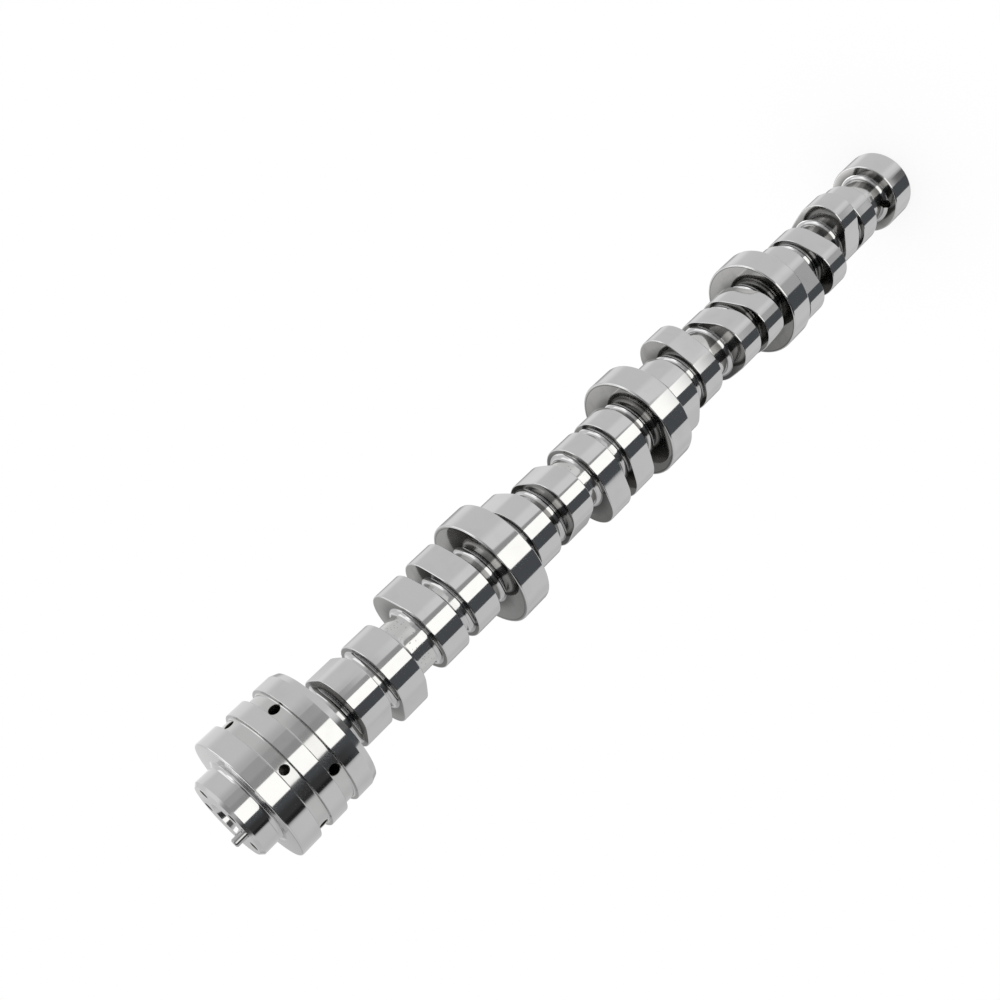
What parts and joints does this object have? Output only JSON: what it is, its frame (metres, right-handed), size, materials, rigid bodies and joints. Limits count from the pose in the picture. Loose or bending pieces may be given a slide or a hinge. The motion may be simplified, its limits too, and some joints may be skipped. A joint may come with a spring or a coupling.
{
  "type": "camshaft",
  "caption": "Ground steel engine camshaft: grooved front oil journal, phaser nose with dowel pin and threaded bore, paired valve lobes between bearing journals.",
  "frame": {"origin": "centre of the flat rear face, which the shaft stands on", "axes": "+Z along the shaft from the rear journal up to the phaser nose; +X and +Y across it"},
  "size_m": [0.062, 0.0618, 0.5252],
  "materials": {
    "ground_steel": "ground and polished steel, rougher on the necks",
    "pin_steel": "bright hardened steel"
  },
  "bodies": {
    "root": {"camshaft": "ground_steel", "dowel_pin": "pin_steel"}
  },
  "joints": []
}
